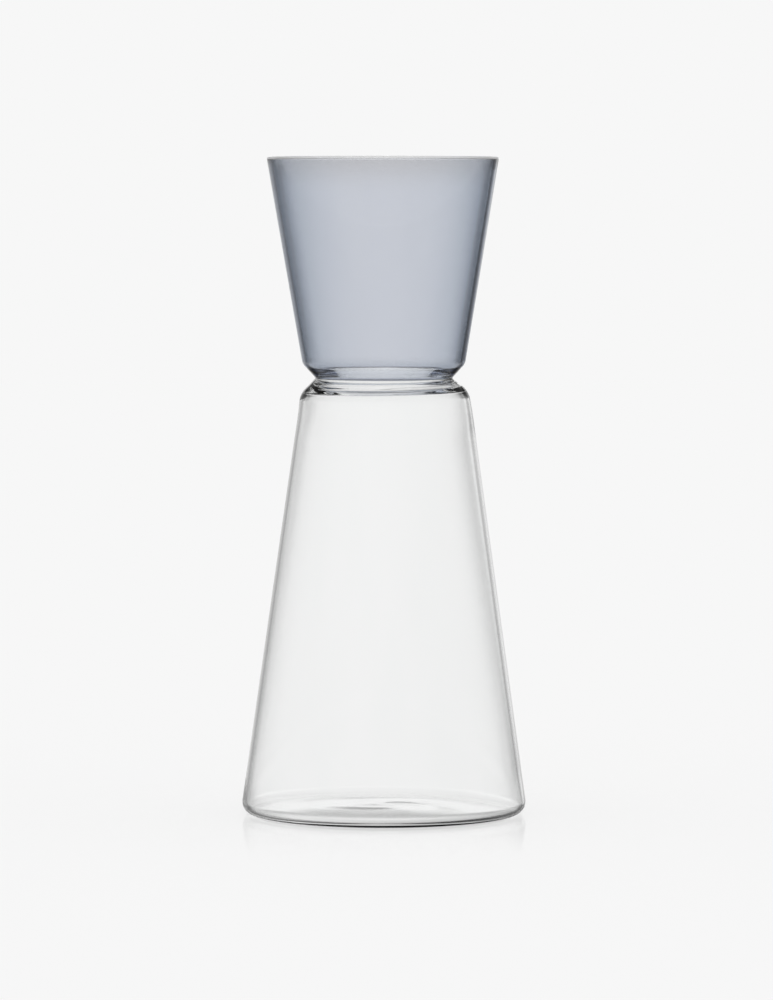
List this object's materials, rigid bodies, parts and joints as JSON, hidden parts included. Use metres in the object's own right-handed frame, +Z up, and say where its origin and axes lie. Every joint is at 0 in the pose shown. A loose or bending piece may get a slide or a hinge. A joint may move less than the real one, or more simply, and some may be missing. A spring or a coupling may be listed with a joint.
{
  "type": "glass pitcher",
  "caption": "Open two-tone glass pitcher: a smoke-tinted funnel top flame-sealed at a narrow waist onto a clear conical body with a slightly raised base, for water or wine.",
  "frame": {"origin": "centre of the base, on the table plane that the pitcher rests on", "axes": "+Z up along the pitcher's axis; the pitcher is round, so +X and +Y are free, and the picture looks along +Y"},
  "size_m": [0.1208, 0.1208, 0.279],
  "materials": {
    "smoke_glass": "fire-polished, smoke blue-grey, see-through",
    "clear_glass": "fire-polished, clear"
  },
  "bodies": {
    "root": {"smoke_funnel": "smoke_glass", "clear_body": "clear_glass"}
  },
  "joints": []
}
